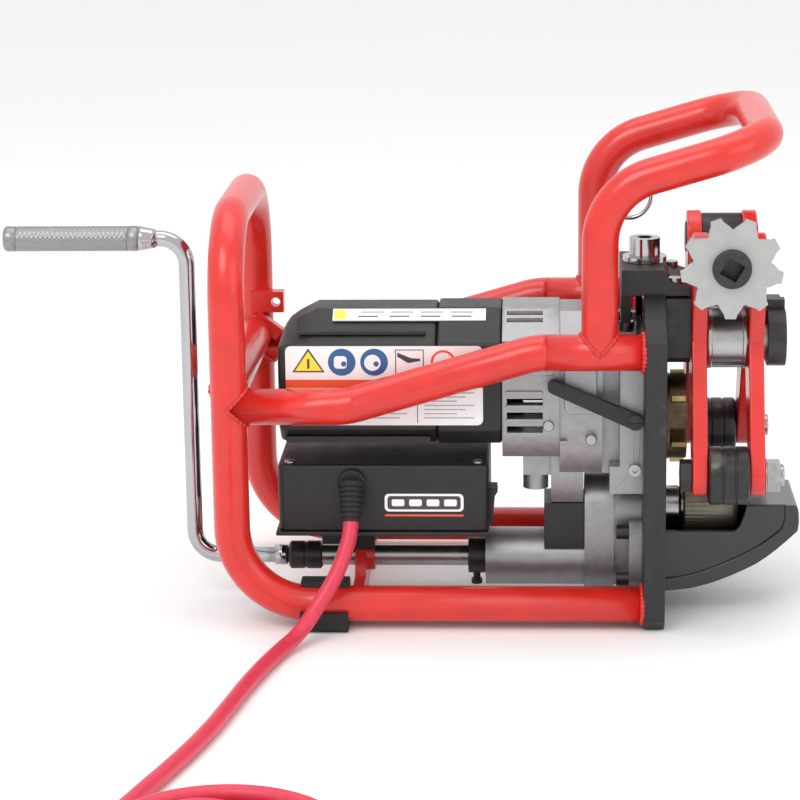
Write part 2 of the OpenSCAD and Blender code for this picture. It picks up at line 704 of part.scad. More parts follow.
module gearcase() color([0.66, 0.66, 0.67]) difference() {
    union() {
        slab_x([vent_end_x, neck_x]) polygon([
            [line_y - 20, 219], [line_y + 20, 219], [line_y + 44, 200], [line_y + 44, 125],
            [line_y + 30, 104], [line_y - 30, 104], [line_y - 44, 125], [line_y - 44, 200]
        ]);
        slab_x([-72, -49]) polygon([
            [line_y - 28, 115.6], [line_y - 28, 96], [line_y - 20, 79], [line_y + 20, 79],
            [line_y + 28, 96], [line_y + 28, 115.6]
        ]);
        slab_x([neck_x - tiny, flange_x + tiny]) translate([line_y - 32, 104]) square([64, 92]);
        slab_x([flange_x, plate_back - gap]) translate([line_y - flange_half_w, 96])
            square([2 * flange_half_w, 107 - depth_travel]);
        slab_x([plate_back - gap - tiny, plate_front - 2]) translate([line_y - slot_w / 2 + gap, 101])
            square([slot_w - 2 * gap, 102]);
        bar_z(-83, line_y - 14, [89, 118], 9);
        block([-92, vent_end_x], [line_y - 23, line_y + 12], [100, 115.6]);
    }
    bar_x([vent_end_x - 1, -44], line_y, motor_z, 13);
    bar_x([-62, -40], line_y, cutter_z, 29.5);
    bar_x([-62, -44], line_y, motor_z, 13);
    bar_x([-41, plate_front + 1], line_y, cutter_z, 16);
    bar_z(screw_x, line_y, [158, 210], 6 + slack);
}

module motor_screws() color([0.6, 0.6, 0.62]) for (side = [-1, 1], z = [130, 196])
    bar_x([vent_end_x, vent_end_x + 5], line_y + side * 46, z, 1);

module stator() color([0.55, 0.3, 0.2]) difference() {
    bar_x([-225, -150], line_y, motor_z, 38.5);
    bar_x([-226, -149], line_y, motor_z, 24);
}

// Ball bearings of the armature and of the spindle
module ring_bearing(x, z, outer, inner) difference() {
    bar_x(x, line_y, z, outer);
    bar_x([x[0] - 1, x[1] + 1], line_y, z, inner + slack);
}
module bearings() color([0.75, 0.75, 0.78]) {
    ring_bearing([-70, -62.2], motor_z, 13, 5);
    ring_bearing([-40.5, -30], cutter_z, 16, 9);
    ring_bearing([-4, 5], cutter_z, 16, 9);
}

module armature() color([0.6, 0.45, 0.3]) {
    bar_x([-250, -60], line_y, motor_z, 5);
    bar_x([-220, -155], line_y, motor_z, 23);
    bar_x([-240, -226], line_y, motor_z, 15);
    slab_x([-60, -46]) translate([line_y, motor_z]) outer_gear(motor_pinion_teeth, cutter_module);
}

module fan() color([0.2, 0.2, 0.2]) {
    difference() {
        bar_x([-104, -96], line_y, motor_z, 12);
        bar_x([-105, -95], line_y, motor_z, 5);
    }
    for (i = [0 : 7]) translate([0, line_y, motor_z]) rotate([i * 45, 0, 0])
        translate([-104, -1, 11]) cube([12, 2, 27]);
}

module spindle() color([0.7, 0.7, 0.72]) {
    bar_x([-58, head_x[0]], line_y, cutter_z, 9);
    slab_x([-58, -44]) translate([line_y, cutter_z]) rotate(180 / spindle_teeth)
        outer_gear(spindle_teeth, cutter_module);
}

insert_count = 6;
module around_head() for (i = [0 : insert_count - 1])
    translate([0, line_y, cutter_z]) rotate([i * 360 / insert_count, 0, 0]) children();

module cutter_head() color([0.45, 0.36, 0.26]) difference() {
    bar_x(head_x, line_y, cutter_z, head_r - 2);
    around_head() block([12, 26], [1, 14], [head_r - 11, head_r + 4]);
}

module cutter_inserts() color([0.6, 0.5, 0.25]) around_head()
    block([13, 23], [1, 5], [head_r - 11, head_r]);

// ---- Lock lever ----

lever_pivot = [-13.4, 146.8];
lever_y = [line_y - gib_y[1] - 7.5, line_y - gib_y[1] - gap];
module lock_lever() color([0.14, 0.14, 0.15]) difference() {
    slab_y(lever_y) link(lever_pivot, 5.6, lever_pivot + 62 * [-cos(23.6), sin(23.6)], 4.4);
    bar_y(lever_pivot.x, [lever_y[0] - 1, lever_y[1] + 1], lever_pivot.y, 4);
}

module lock_screw() color([0.3, 0.3, 0.3]) difference() {
    union() {
        bar_y(lever_pivot.x, [lever_y[0] - 1.5, lever_y[0]], lever_pivot.y, 5.5);
        bar_y(lever_pivot.x, [lever_y[0], line_y - flange_half_w - gap], lever_pivot.y, 4);
    }
    block([lever_pivot.x - 6, lever_pivot.x + 6], [lever_y[0] - 2, lever_y[0] - 0.7],
          [lever_pivot.y - 0.6, lever_pivot.y + 0.6]);
}

// ---- Control box and cord ----

box_wall = 2.5;
switch_z = 90;
module control_box() color([0.15, 0.15, 0.16]) difference() {
    block(box_x, [box_y, box_y + box_d], [box_z + 3, box_z + box_h]);
    block([box_x[0] + box_wall, box_x[1] - box_wall], [box_y + box_wall, box_y + box_d - box_wall],
          [box_z + 2, box_z + box_h - box_wall]);
    block([box_x[1] - 5, box_x[1] + 1], [-68, -52], [65, 95]);
}

module box_base() color([0.12, 0.12, 0.13])
    block([box_x[0] - 2, box_x[1]], [box_y - 1.5, box_y + box_d + 1.5], [box_z, box_z + 3]);

module box_mount() color([0.1, 0.1, 0.1]) {
    difference() {
        block([-216, -200], [line_y - 10, line_y + 10], [feed_z + 5, box_z]);
        bar_x([-220, -195], line_y, feed_z, 12);
    }
}

// Paddle switch in the front end of the control box, hinged near its top
module power_switch() color([0.1, 0.1, 0.1]) {
    bar_y(box_x[1] - 1, [-67.6, -52.4], switch_z, 3);
    slab_y([-67.6, -52.4]) polygon([
        [box_x[1] - 1.5, 67], [box_x[1] + 2, 66], [box_x[1] + 3, 76], [box_x[1] + 4, 87],
        [box_x[1] + 6, 90], [box_x[1] + 5.5, 93], [box_x[1] - 1.5, 93]
    ]);
}

gland_dir = unit([0, -13, -28]);
module cord_gland() color([0.12, 0.12, 0.13]) {
    bar_y(gland_x, [-87, box_y], 101, 10);
    difference() {
        translate(cord_points[0] - gland_dir * 29) rotate([180 - acos(28 / norm([13, 28])), 0, 0])
            cylinder(h = 29, r1 = 9.5, r2 = 7);
        block([-240, -190], [box_y, -40], [60, 140]);
    }
}

// Rings of points round a list of points, and the closed bar that they make
function tube_rings(p, r, sides, ref) = [for (i = [0 : len(p) - 1])
    let (t = unit(p[min(i + 1, len(p) - 1)] - p[max(i - 1, 0)]), side = unit(cross(t, ref)), up = cross(side, t))
        for (k = [0 : sides - 1]) p[i] + r * (cos(360 * k / sides) * side + sin(360 * k / sides) * up)];
module swept_tube(p, r, sides) {
    last = len(p) - 1;
    walls = [for (i = [0 : last - 1]) for (k = [0 : sides - 1])
        let (a = i * sides + k, b = i * sides + (k + 1) % sides) [a, b, b + sides, a + sides]];
    polyhedron(points = tube_rings(p, r, sides, [0.3, 0.2, 1]), faces = concat(
        [[for (k = [0 : sides - 1]) sides - 1 - k]], walls, [[for (k = [0 : sides - 1]) last * sides + k]]));
}

module power_cord() color([0.85, 0.25, 0.3]) {
    swept_tube(cord_points, cord_r, 10);
    swept_tube(tail_points, cord_r, 10);
}

module cord_coil() color([0.85, 0.25, 0.3]) translate([coil_centre.x, coil_centre.y, 0.1])
    rotate_extrude() translate([coil_r, 0]) polygon(coil_section);

plug_x = tail_points[3].x;
plug_at = [tail_points[3].y, 13];
module plug() color([0.15, 0.15, 0.16]) {
    cone_x([plug_x, plug_x + 14], tail_points[3].y, 5.6 + 0.9, [5.5, 6.4]);
    bar_x([plug_x + 14, plug_x + 46], plug_at[0], plug_at[1] + 1, 14);
    for (y = [-6, 6]) block([plug_x + 46, plug_x + 62], [plug_at[0] + y - 3, plug_at[0] + y + 3],
                            [plug_at[1], plug_at[1] + 1.6]);
    bar_x([plug_x + 46, plug_x + 64], plug_at[0], plug_at[1] + 8, 2.4);
}

main_frame();
rail_near();
rail_far();
carry_handle();
hang_ring();
foot_clips();
shaft_support();
hoop_brace();
front_plate();
slide_gibs();
slide_screws();
top_bracket();
feed_case();
feed_case_bolts();
feed_bushes();
depth_stop();
pivot_block();
pivot_pins();
pivot_tie();
front_guard();
control_box();
box_base();
box_mount();
cord_gland();
power_cord();
cord_coil();
plug();
power_switch();
motor_housing();
motor_front();
vent_housing();
gearcase();
motor_screws();
stator();
bearings();
armature();
fan();
spindle();
cutter_head();
cutter_inserts();
depth_screw();
lock_lever();
lock_screw();
crank_arm();
coupling();
feed_shaft();
shaft_collar();
crank_grip();
drive_spindle();
drive_roller();
near_arm();
near_roller_bolt();
near_roller();
near_trunnion();
far_arm();
far_roller_bolt();
far_roller();
far_trunnion();
clamp_screw();
star_wheel();
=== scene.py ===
"""Looks of the portable pipe bevelling machine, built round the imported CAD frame."""

import math

import bmesh
import bpy
from mathutils import Matrix, Vector


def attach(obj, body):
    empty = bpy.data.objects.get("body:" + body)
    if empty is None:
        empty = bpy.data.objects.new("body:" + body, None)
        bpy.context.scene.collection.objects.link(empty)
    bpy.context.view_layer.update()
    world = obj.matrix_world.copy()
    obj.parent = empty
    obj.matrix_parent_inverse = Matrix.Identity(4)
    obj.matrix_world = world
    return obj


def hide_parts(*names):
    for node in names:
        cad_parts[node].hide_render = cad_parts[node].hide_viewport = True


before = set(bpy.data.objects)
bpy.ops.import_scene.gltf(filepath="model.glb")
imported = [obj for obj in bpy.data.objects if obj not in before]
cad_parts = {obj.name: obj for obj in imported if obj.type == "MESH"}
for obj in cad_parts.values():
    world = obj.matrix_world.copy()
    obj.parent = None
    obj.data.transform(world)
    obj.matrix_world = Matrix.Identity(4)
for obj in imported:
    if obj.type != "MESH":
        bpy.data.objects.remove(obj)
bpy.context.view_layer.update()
MM = 0.001
TAU = 2 * math.pi
LINE_Y = -35  # the line of the motor, the feed and the cutter
RAIL_Y = 100  # the near and far tubes, either side of the middle
RAIL_BASE_Z = 17  # the bottom rails
FEED_Z = 33  # the crank's shaft
DRIVE_Z = 71  # the drive roller
PHOTO = 800  # width and height of the picture


# ---------------------------------------------------------------- materials
def material(name, color, rough, metal=0.0, vary=0.12, grain=250.0, bump=0.12, bump_scale=900.0,
             coat=0.0, wear=None, rough_vary=0.12, spec=0.5):
    """Noise-driven paint, metal, rubber or plastic. color is linear; wear is a second colour for spots."""
    mat = bpy.data.materials.new(name)
    mat.use_nodes = True
    nodes, links = mat.node_tree.nodes, mat.node_tree.links
    shader = nodes["Principled BSDF"]
    shader.inputs["Metallic"].default_value = metal
    shader.inputs["Coat Weight"].default_value = coat
    shader.inputs["Coat Roughness"].default_value = 0.12
    shader.inputs["Specular IOR Level"].default_value = spec
    coord = nodes.new("ShaderNodeTexCoord")

    def noise(scale, detail):
        n = nodes.new("ShaderNodeTexNoise")
        n.inputs["Scale"].default_value = scale
        n.inputs["Detail"].default_value = detail
        links.new(coord.outputs["Object"], n.inputs["Vector"])
        return n

    broad = noise(grain, 4)
    fine = noise(bump_scale, 3)
    ramp = nodes.new("ShaderNodeValToRGB")
    ramp.color_ramp.elements[0].position = 0.3
    ramp.color_ramp.elements[1].position = 0.7
    low = [c * (1 - vary) for c in color]
    high = [min(1.0, c * (1 + vary)) for c in color]
    ramp.color_ramp.elements[0].color = (*low, 1)
    ramp.color_ramp.elements[1].color = (*high, 1)
    links.new(broad.outputs["Fac"], ramp.inputs["Fac"])
    out = ramp.outputs["Color"]
    if wear:
        spots = noise(grain * 0.35, 6)
        cut = nodes.new("ShaderNodeMapRange")
        cut.inputs["From Min"].default_value = 0.62
        cut.inputs["From Max"].default_value = 0.72
        cut.inputs["To Max"].default_value = 0.5
        links.new(spots.outputs["Fac"], cut.inputs["Value"])
        mix = nodes.new("ShaderNodeMix")
        mix.data_type = "RGBA"
        mix.inputs["B"].default_value = (*wear, 1)
        links.new(cut.outputs["Result"], mix.inputs["Factor"])
        links.new(out, mix.inputs["A"])
        out = mix.outputs["Result"]
    links.new(out, shader.inputs["Base Color"])
    rmap = nodes.new("ShaderNodeMapRange")
    rmap.inputs["From Min"].default_value = 0.3
    rmap.inputs["From Max"].default_value = 0.7
    rmap.inputs["To Min"].default_value = max(0.02, rough * (1 - rough_vary))
    rmap.inputs["To Max"].default_value = min(1.0, rough * (1 + rough_vary))
    links.new(broad.outputs["Fac"], rmap.inputs["Value"])
    links.new(rmap.outputs["Result"], shader.inputs["Roughness"])
    relief = nodes.new("ShaderNodeBump")
    relief.inputs["Strength"].default_value = bump
    relief.inputs["Distance"].default_value = 0.0004
    links.new(fine.outputs["Fac"], relief.inputs["Height"])
    links.new(relief.outputs["Normal"], shader.inputs["Normal"])
    return mat


RED = material("red_paint", (0.66, 0.020, 0.013), 0.32, vary=0.07, grain=60, bump=0.10, bump_scale=700,
               coat=0.35)
WELD = material("red_weld", (0.60, 0.018, 0.012), 0.38, vary=0.15, grain=300, bump=0.3, bump_scale=1400,
                coat=0.2)
BLACK = material("black_paint", (0.014, 0.014, 0.015), 0.42, vary=0.25, grain=200, bump=0.2, bump_scale=1500,
                 wear=(0.06, 0.06, 0.058))
PLASTIC = material("black_plastic", (0.012, 0.012, 0.013), 0.46, vary=0.15, grain=120, bump=0.22,
                   bump_scale=2200)
GLOSS = material("gloss_black", (0.014, 0.014, 0.0135), 0.24, vary=0.2, grain=80, bump=0.08, bump_scale=500,
                 coat=0.4)
CAST = material("cast_alloy", (0.36, 0.36, 0.37), 0.42, metal=0.85, vary=0.10, grain=160, bump=0.35,
                bump_scale=1300, wear=(0.30, 0.30, 0.30))
STEEL = material("steel", (0.42, 0.42, 0.415), 0.30, metal=1.0, vary=0.10, grain=90, bump=0.10,
                 bump_scale=1500)
DARK = material("dark_steel", (0.05, 0.05, 0.052), 0.40, metal=0.7, vary=0.2, grain=150, bump=0.15,
                bump_scale=1200)
ROLLER = material("roller_steel", (0.035, 0.035, 0.036), 0.36, metal=0.5, vary=0.18, grain=120, bump=0.2,
                  bump_scale=1100, wear=(0.24, 0.23, 0.2))
DRIVE = material("drive_steel", (0.20, 0.19, 0.15), 0.42, metal=0.75, vary=0.18, grain=150, bump=0.3,
                 bump_scale=1200)
CHROME = material("chrome", (0.46, 0.46, 0.48), 0.12, metal=1.0, vary=0.03, grain=60, bump=0.02,
                  bump_scale=500)
KNURL = material("knurled_grip", (0.30, 0.30, 0.305), 0.38, metal=0.9, vary=0.06, grain=300, bump=0.15,
                 bump_scale=2500)
ZINC = material("zinc_star", (0.44, 0.45, 0.44), 0.42, metal=0.6, vary=0.06, grain=120, bump=0.35,
                bump_scale=1500)
NUT = material("plated_nut", (0.40, 0.40, 0.40), 0.24, metal=1.0, vary=0.08, grain=200, bump=0.08,
               bump_scale=900)
BRONZE = material("bronze", (0.55, 0.36, 0.14), 0.35, metal=1.0, vary=0.12, grain=150, bump=0.1)
COPPER = material("windings", (0.45, 0.16, 0.06), 0.4, metal=0.8, vary=0.2, grain=500, bump=0.4,
                  bump_scale=900)
CUTTER = material("cutter_steel", (0.16, 0.115, 0.07), 0.38, metal=0.85, vary=0.3, grain=180, bump=0.25,
                  bump_scale=900, wear=(0.35, 0.26, 0.15))
CARBIDE = material("carbide", (0.45, 0.34, 0.14), 0.3, metal=0.9, vary=0.2, grain=300, bump=0.1)
RUBBER = material("rubber", (0.018, 0.018, 0.019), 0.62, vary=0.2, grain=250, bump=0.3, bump_scale=1800,
                  spec=0.35)
CORD = material("cord_red", (0.66, 0.035, 0.075), 0.45, vary=0.08, grain=200, bump=0.12, bump_scale=1500,
                coat=0.1)
LABEL = material("label_white", (0.86, 0.86, 0.86), 0.4, vary=0.02, grain=90, bump=0.03, coat=0.3)
YELLOW = material("label_yellow", (0.83, 0.72, 0.03), 0.4, vary=0.03, grain=90, bump=0.03, coat=0.3)
BLUE = material("label_blue", (0.012, 0.10, 0.28), 0.4, vary=0.04, grain=90, bump=0.03, coat=0.3)
INK = material("label_ink", (0.04, 0.04, 0.045), 0.45, vary=0.05, grain=90, bump=0.03, coat=0.3)
GREY = material("label_grey", (0.42, 0.42, 0.43), 0.45, vary=0.05, grain=90, bump=0.03, coat=0.3)
ORANGE = material("label_orange", (0.80, 0.10, 0.03), 0.4, vary=0.04, grain=90, bump=0.03, coat=0.3)


# ---------------------------------------------------------------- builders
def smooth(obj, angle=32):
    """Smooth shading, but for edges sharper than an angle in degrees."""
    for p in obj.data.polygons:
        p.use_smooth = True
    obj.data.set_sharp_from_angle(angle=math.radians(angle))


def bevel(obj, width, segments=2, angle=30):
    m = obj.modifiers.new("bevel", "BEVEL")
    m.width = width * MM
    m.segments = segments
    m.limit_method = "ANGLE"
    m.angle_limit = math.radians(angle)
    m.harden_normals = True
    return m


def piece(name, verts, faces, mat, body, width=0.0, segments=2, replaces=(), angle=32):
    """A mesh from millimetre points, with rounded edges, that rides on a body."""
    mesh = bpy.data.meshes.new(name)
    mesh.from_pydata([[c * MM for c in v] for v in verts], [], faces)
    b = bmesh.new()
    b.from_mesh(mesh)
    bmesh.ops.recalc_face_normals(b, faces=b.faces)
    b.to_mesh(mesh)
    b.free()
    obj = bpy.data.objects.new(name, mesh)
    bpy.context.scene.collection.objects.link(obj)
    obj.data.materials.append(mat)
    smooth(obj, angle)
    if width:
        bevel(obj, width, segments)
    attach(obj, body)
    if replaces:
        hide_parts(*replaces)
    return obj


def join_meshes(parts):
    """Verts and faces of several (verts, faces) pairs in one."""
    verts, faces = [], []
    for v, f in parts:
        base = len(verts)
        verts += v
        faces += [[i + base for i in face] for face in f]
    return verts, faces


def prism(outline, low, high, axis):
    """An outline made thick along an axis: x takes (y, z), y takes (x, z), z takes (x, y)."""
    def point(p, c):
        return {"x": (c, p[0], p[1]), "y": (p[0], c, p[1]), "z": (p[0], p[1], c)}[axis]
    n = len(outline)
    verts = [point(p, low) for p in outline] + [point(p, high) for p in outline]
    faces = [list(range(n))[::-1], list(range(n, 2 * n))]
    faces += [[i, (i + 1) % n, n + (i + 1) % n, n + i] for i in range(n)]
    return verts, faces


def lathe(profile, centre, axis, sides=64):
    """Turned shape from (station, radius) pairs; centre gives the two other coordinates."""
    verts, faces = [], []
    for s, r in profile:
        for k in range(sides):
            a = TAU * k / sides
            u, v = centre[0] + r * math.cos(a), centre[1] + r * math.sin(a)
            verts.append({"x": (s, u, v), "y": (u, s, v), "z": (u, v, s)}[axis])
    for i in range(len(profile) - 1):
        for k in range(sides):
            a, b = i * sides + k, i * sides + (k + 1) % sides
            faces.append([a, b, b + sides, a + sides])
    faces.append(list(range(sides))[::-1])
    faces.append([(len(profile) - 1) * sides + k for k in range(sides)])
    return verts, faces


def hexagon(centre, low, high, axis, across):
    """A six-sided head or nut, by its width across the flats."""
    outline = [(centre[0] + across / math.sqrt(3) * math.cos(TAU * k / 6),
                centre[1] + across / math.sqrt(3) * math.sin(TAU * k / 6)) for k in range(6)]
    return prism(outline, low, high, axis)


def along(points_and_radii):
    """Turned shape along a straight slanted line: (point, radius) pairs."""
    sides = 48
    first, last = Vector(points_and_radii[0][0]), Vector(points_and_radii[-1][0])
    t = (last - first).normalized()
    side = t.cross(Vector((1, 0, 0))).normalized()
    up = side.cross(t)
    verts = []
    for p, r in points_and_radii:
        for k in range(sides):
            a = TAU * k / sides
            verts.append(tuple(Vector(p) + r * (math.cos(a) * side + math.sin(a) * up)))
    faces = [[i * sides + k, i * sides + (k + 1) % sides,
              (i + 1) * sides + (k + 1) % sides, (i + 1) * sides + k]
             for i in range(len(points_and_radii) - 1) for k in range(sides)]
    faces.append(list(range(sides))[::-1])
    faces.append([(len(points_and_radii) - 1) * sides + k for k in range(sides)])
    return verts, faces


def arc(centre, r, start, end, steps):
    """Points on an arc, from one angle in degrees to another."""
    angles = [math.radians(start + (end - start) * k / steps) for k in range(steps + 1)]
    return [(centre[0] + r * math.cos(a), centre[1] + r * math.sin(a)) for a in angles]


def rounded_box(low, high, r, steps=6):
    """Outline of a rectangle with round corners."""
    (a, b), (c, d) = low, high
    return (arc((a + r, b + r), r, 180, 270, steps) + arc((c - r, b + r), r, 270, 360, steps)
            + arc((c - r, d - r), r, 0, 90, steps) + arc((a + r, d - r), r, 90, 180, steps))


def link_outline(a, ra, b, rb, steps=20):
    """Outline round two discs and the sides that touch both."""
    d = Vector(b) - Vector(a)
    base = math.degrees(math.atan2(d.y, d.x))
    opening = math.degrees(math.acos((ra - rb) / d.length))
    return (arc(a, ra, base + opening, base + 360 - opening, steps)
            + arc(b, rb, base - opening, base + opening, steps))


def wire(name, points, radius, mat, body, cyclic=False, radii=None, replaces=(), fill=24):
    """A round bar along millimetre points."""
    curve = bpy.data.curves.new(name, "CURVE")
    curve.dimensions = "3D"
    curve.bevel_depth = radius * MM
    curve.bevel_resolution = fill // 4
    curve.use_fill_caps = True
    spline = curve.splines.new("POLY")
    spline.points.add(len(points) - 1)
    for i, p in enumerate(points):
        spline.points[i].co = (p[0] * MM, p[1] * MM, p[2] * MM, 1)
        spline.points[i].radius = radii[i] if radii else 1.0
    spline.use_cyclic_u = cyclic
    spline.use_smooth = True
    obj = bpy.data.objects.new(name, curve)
    bpy.context.scene.collection.objects.link(obj)
    curve.materials.append(mat)
    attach(obj, body)
    if replaces:
        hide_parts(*replaces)
    return obj


# ---------------------------------------------------------------- CAD nodes that show
KEEP = {
    "main_frame": (RED, 0), "rail_near": (RED, 0), "rail_far": (RED, 0), "shaft_support": (RED, 1.0),
    "hoop_brace": (RED, 1.2), "hang_ring": (CHROME, 0), "front_plate": (BLACK, 1.0),
    "slide_gibs": (CAST, 0.8), "slide_screws": (NUT, 0.4), "top_bracket": (BLACK, 1.2),
    "feed_case": (CAST, 1.2),
    "feed_case_bolts": (DARK, 0.5), "feed_bushes": (BRONZE, 0.3), "depth_stop": (BLACK, 1.2),
    "pivot_block": (BLACK, 1.2), "pivot_pins": (STEEL, 0.6), "pivot_tie": (DARK, 1.5),
    "box_base": (PLASTIC, 0.8), "box_mount": (RUBBER, 1.5), "power_switch": (PLASTIC, 0.8),
    "vent_housing": (CAST, 1.6), "gearcase": (CAST, 1.8), "motor_screws": (STEEL, 0.2),
    "stator": (COPPER, 0.8),
    "bearings": (STEEL, 0.4), "armature": (COPPER, 0.4), "fan": (PLASTIC, 0.3), "spindle": (STEEL, 0.2),
    "depth_screw": (CHROME, 0.6), "lock_lever": (PLASTIC, 1.2), "lock_screw": (DARK, 0.3),
    "crank_arm": (CHROME, 0), "feed_shaft": (STEEL, 0.2), "shaft_collar": (BLACK, 0.6),
    "drive_spindle": (STEEL, 0.3), "near_trunnion": (DARK, 0.8), "far_trunnion": (DARK, 0.8),
    "clamp_screw": (DARK, 0.8), "star_wheel": (ZINC, 0.9), "cutter_head": (CUTTER, 0.5),
    "cutter_inserts": (CARBIDE, 0.3),
}
for node_name, (mat, width) in KEEP.items():
    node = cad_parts[node_name]
    node.data.materials.clear()
    node.data.materials.append(mat)
    weld = node.modifiers.new("weld", "WELD")
    weld.merge_threshold = 0.00002
    if "custom_normal" in node.data.attributes:
        node.data.attributes.remove(node.data.attributes["custom_normal"])
    smooth(node, 28)
    if width:
        bevel(node, width, 2, 38)


# ---------------------------------------------------------------- tubes and welds
TUBE_R = 12.7
HOOP_X = -297
RAIL_LOW_Z = 160.5
RAIL_HIGH_Z = 199


def unit(v):
    """The direction of a vector."""
    return Vector(v).normalized()


def round_path(points, bends, steps=14):
    """Points along a path whose corners are rounded."""
    out = [Vector(points[0])]
    for i in range(1, len(points) - 1):
        a, b, c = (Vector(points[j]) for j in (i - 1, i, i + 1))
        u, w = (b - a).normalized(), (c - b).normalized()
        angle = math.acos(max(-1, min(1, u.dot(w))))
        m = (w - u * u.dot(w)).normalized()
        r = bends[i]
        centre = b - u * r * math.tan(angle / 2) + m * r
        out += [centre + r * (u * math.sin(angle * k / steps) - m * math.cos(angle * k / steps))
                for k in range(steps + 1)]
    return out + [Vector(points[-1])]


LEG_X, LEG_TOP_Z = -38.7, 311.8
GRIP_X, GRIP_Z = 75.06, 344.98
LEG_BEND, GRIP_BEND = 48, 42
handle_points = [(LEG_X, -RAIL_Y, RAIL_HIGH_Z), (LEG_X, -RAIL_Y, LEG_TOP_Z), (GRIP_X, -RAIL_Y, GRIP_Z),
                 (GRIP_X, RAIL_Y, GRIP_Z), (LEG_X, RAIL_Y, LEG_TOP_Z), (LEG_X, RAIL_Y, RAIL_HIGH_Z)]
handle_bends = [0, LEG_BEND, GRIP_BEND, GRIP_BEND, LEG_BEND, 0]
wire("handle_tube", round_path(handle_points, handle_bends), TUBE_R, RED, "frame",
     replaces=["carry_handle"], fill=40)


def weld_bead(name, path, r=1.5, ripples=26):
    """A welded bead: a ring whose thickness ripples."""
    radii = [1 + 0.22 * math.sin(ripples * TAU * i / len(path)) for i in range(len(path))]
    wire(name, path, r, WELD, "frame", cyclic=True, radii=radii, fill=12)


BRACE_Z = 172
PLATE_WELD_X = -8.2
PROUD = 0.3  # how far a bead stands off its tube
for side, label in ((-1, "near"), (1, "far")):
    y0 = side * RAIL_Y
    ring = [(math.cos(TAU * k / 120), math.sin(TAU * k / 120)) for k in range(120)]
    weld_bead(f"weld_rail_back_{label}", [
        (HOOP_X + (TUBE_R + 0.4) * abs(v), y0 + TUBE_R * u, RAIL_LOW_Z + TUBE_R * v) for u, v in ring])
    weld_bead(f"weld_handle_{label}", [
        (LEG_X + TUBE_R * u, y0 + TUBE_R * v, RAIL_HIGH_Z + (TUBE_R + 0.4) * abs(u)) for u, v in ring])
    weld_bead(f"weld_brace_{label}", [
        (HOOP_X + TUBE_R * u, y0 - side * (TUBE_R + PROUD) * abs(v), BRACE_Z + TUBE_R * v) for u, v in ring])
    for z, word in ((RAIL_BASE_Z, "low"), (RAIL_HIGH_Z, "high")):
        weld_bead(f"weld_plate_{word}_{label}", [
            (PLATE_WELD_X, y0 + (TUBE_R + PROUD) * u, z + (TUBE_R + PROUD) * v) for u, v in ring], r=1.7)

# ---------------------------------------------------------------- feet
FOOT_X = (-249, -215)
FOOT_HALF = 16.5
FOOT_BORE = 12.9
for side, label in ((-1, "near"), (1, "far")):
    c = (side * RAIL_Y, RAIL_BASE_Z)
    # the clip's outline, outwards from the rail's middle, open on its outer side
    outer = [(c[0] + side * y, z) for y, z in (
        (3.5, 33.4), (-11.5, 33.4), (-FOOT_HALF, 28.4), (-FOOT_HALF, 3), (-13.5, 0), (13.5, 0),
        (FOOT_HALF, 3), (FOOT_HALF, 14.5), (FOOT_BORE, 14.5))]
    inner = arc(c, FOOT_BORE, -11 if side > 0 else 191, -286 if side > 0 else 466, 22)
    v, f = prism(outer + inner, *FOOT_X, "x")
    extra = {"replaces": ["foot_clips"]} if side < 0 else {}
    piece(f"foot_{label}", v, f, RUBBER, "frame", width=0.9, **extra)
    grooves = [prism(rounded_box((x, 0.8), (x + 3, 2.2), 0.6, 2), side * 82, side * 84.4, "y")
               for x in (FOOT_X[0] + 5 + 8 * k for k in range(4))]
    v, f = join_meshes(grooves)
    piece(f"foot_ribs_{label}", v, f, RUBBER, "frame")

# ---------------------------------------------------------------- motor housing
MOTOR_HALF = 48
MOTOR_TOP_Z, SHOULDER_Z, CHEEK_Z, MOTOR_LOW_Z = 221, 201, 139, 126
MOTOR_MID_Z = 180
shell = [(-17, MOTOR_TOP_Z), (17, MOTOR_TOP_Z), (MOTOR_HALF, SHOULDER_Z), (MOTOR_HALF, CHEEK_Z),
         (34, MOTOR_LOW_Z), (-34, MOTOR_LOW_Z), (-MOTOR_HALF, CHEEK_Z), (-MOTOR_HALF, SHOULDER_Z)]


def motor_outline(out):
    """Outline of the motor in Y and Z, larger all round by out."""
    return [(LINE_Y + y + out * math.copysign(1, y), z + (out if z > MOTOR_MID_Z else -out))
            for y, z in shell]


def loft_x(rings):
    """Skin through outlines with the same number of points: (x, outline) pairs."""
    n = len(rings[0][1])
    verts = [(x, p[0], p[1]) for x, o in rings for p in o]
    faces = [[i * n + k, i * n + (k + 1) % n, (i + 1) * n + (k + 1) % n, (i + 1) * n + k]
             for i in range(len(rings) - 1) for k in range(n)]
    faces.append(list(range(n))[::-1])
    faces.append([(len(rings) - 1) * n + k for k in range(n)])
    return verts, faces


def clipped(out, top):
    """Motor outline with its top cut down to a height."""
    return [(y, min(z, top)) for y, z in motor_outline(out)]


